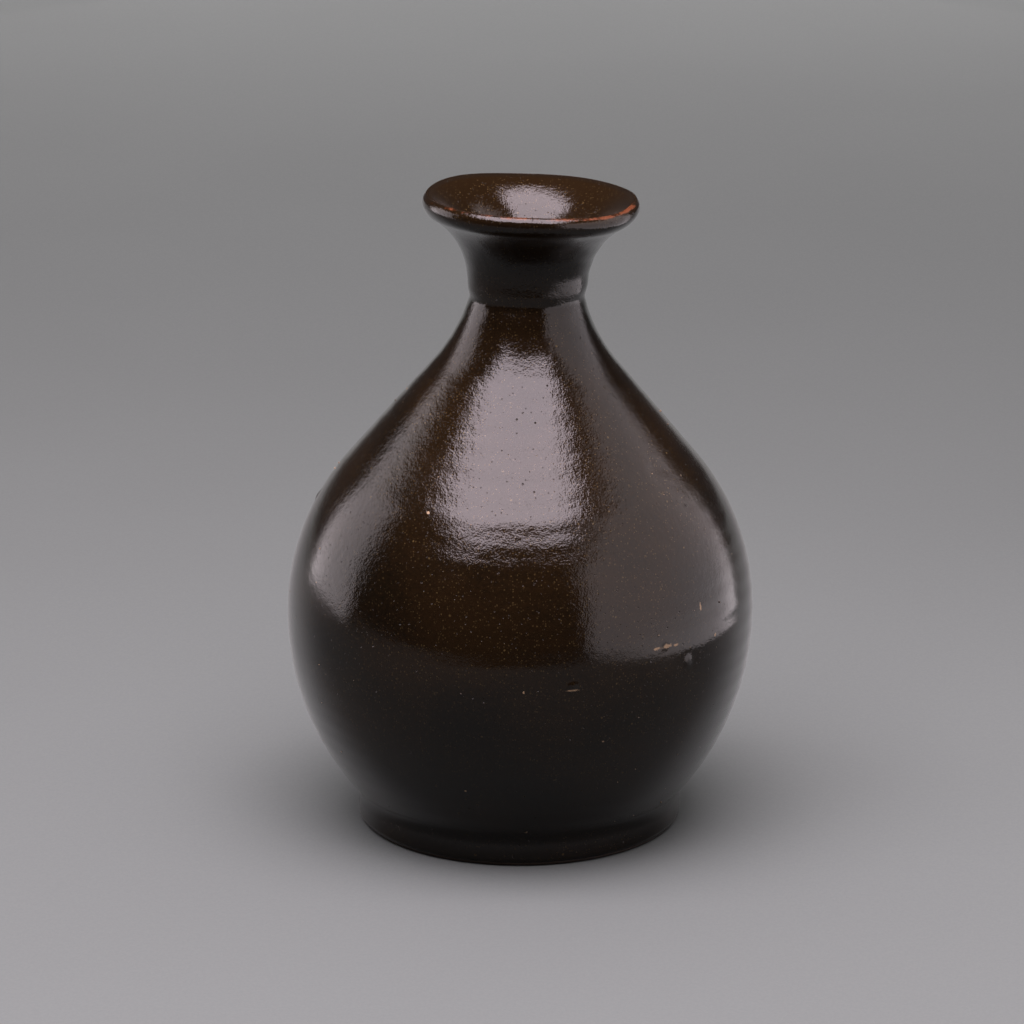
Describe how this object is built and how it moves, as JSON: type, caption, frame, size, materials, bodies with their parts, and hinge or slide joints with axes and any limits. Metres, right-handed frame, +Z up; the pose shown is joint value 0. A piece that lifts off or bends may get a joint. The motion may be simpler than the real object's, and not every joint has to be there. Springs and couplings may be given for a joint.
{
  "type": "sake bottle",
  "caption": "Wheel-thrown stoneware sake bottle: low foot, round belly, narrow throat and flared, lipped mouth for pouring.",
  "frame": {"origin": "middle of the standing face of the foot, on the surface the bottle stands on", "axes": "+Z up along the axis of the throw, out of the mouth; the bottle is round about Z, so +X and +Y are free"},
  "size_m": [0.1674, 0.1674, 0.23],
  "materials": {
    "stoneware": "bare fired stoneware, matt, rust brown",
    "outer_iron_glaze": "glossy dark brown iron glaze with fine yellow-brown specks",
    "inner_iron_glaze": "glossy dark brown iron glaze, slightly thinner than outside"
  },
  "bodies": {
    "root": {"foot_ring": "stoneware", "lower_body": "stoneware", "upper_body": "stoneware", "neck_and_mouth": "stoneware", "outer_glaze": "outer_iron_glaze", "inner_glaze": "inner_iron_glaze"}
  },
  "joints": []
}
